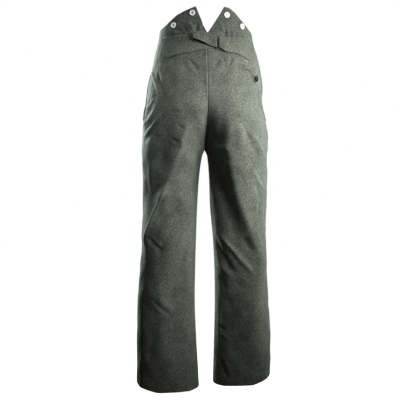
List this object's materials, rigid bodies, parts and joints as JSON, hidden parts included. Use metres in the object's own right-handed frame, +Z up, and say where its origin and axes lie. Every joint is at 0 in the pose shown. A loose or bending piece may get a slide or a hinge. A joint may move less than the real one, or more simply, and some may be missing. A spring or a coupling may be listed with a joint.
{
  "type": "field trousers",
  "caption": "High-waisted wool field trousers, filled out as worn, with a V-notched brace back, cinch strap, flapped hip pocket and straight open legs.",
  "frame": {"origin": "middle of the waist at the level of the cinch strap, where the wearer holds the garment up", "axes": "+Z up along the wearer, +X to the wearer's left, +Y to the wearer's back; the fly faces -Y"},
  "size_m": [0.4167, 0.2731, 1.1609],
  "materials": {
    "wool": "heathered field-grey wool, napped and matt",
    "tab_wool": "the same wool, turned edges and stitching",
    "pressed_white": "pressed white button, dished, semi-gloss",
    "pressed_dark": "pressed black button, dished, semi-gloss",
    "buckle_steel": "dark japanned steel wire"
  },
  "bodies": {
    "root": {"back_left": "wool", "back_right": "wool", "front_left": "wool", "front_right": "wool", "cinch_tab_left": "tab_wool", "cinch_tab_right": "tab_wool", "cinch_buckle": "buckle_steel", "back_brace_button_left_inner": "pressed_white", "back_brace_button_left_outer": "pressed_white", "back_brace_button_right_inner": "pressed_white", "back_brace_button_right_outer": "pressed_white", "front_brace_button_left_inner": "pressed_white", "front_brace_button_left_outer": "pressed_white", "front_brace_button_right_inner": "pressed_white", "front_brace_button_right_outer": "pressed_white", "hip_pocket_flap": "wool", "hip_pocket_button": "pressed_dark", "side_pocket_welt_left": "wool", "side_pocket_welt_right": "wool", "fly_placket": "wool", "waist_button": "pressed_dark"}
  },
  "joints": []
}
